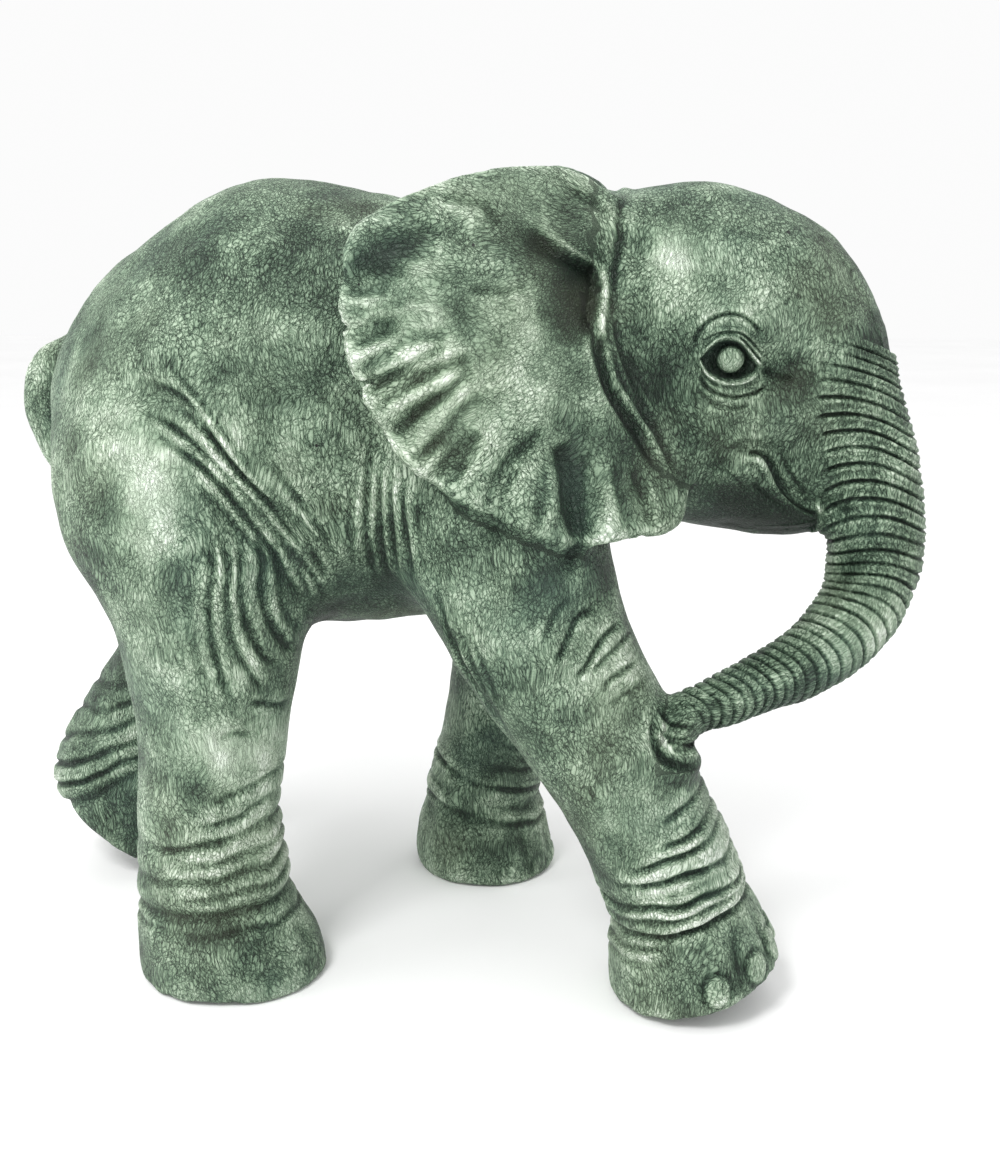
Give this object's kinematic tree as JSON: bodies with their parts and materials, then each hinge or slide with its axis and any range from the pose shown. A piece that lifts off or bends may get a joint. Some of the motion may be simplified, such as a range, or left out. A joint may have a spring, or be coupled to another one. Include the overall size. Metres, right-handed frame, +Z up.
{
  "type": "garden statue",
  "caption": "Walking elephant calf cast in stone, ears spread, trunk curled back against its foreleg; stands on its own feet as a garden ornament.",
  "frame": {"origin": "centre of the footprint on the ground under the soles", "axes": "+X towards the head, +Y towards the animal's left-hand side away from the viewer, +Z up"},
  "size_m": [0.6244, 0.2752, 0.518],
  "materials": {
    "stone": "cast, patinated, matte"
  },
  "bodies": {
    "root": {"elephant_statue": "stone"}
  },
  "joints": []
}
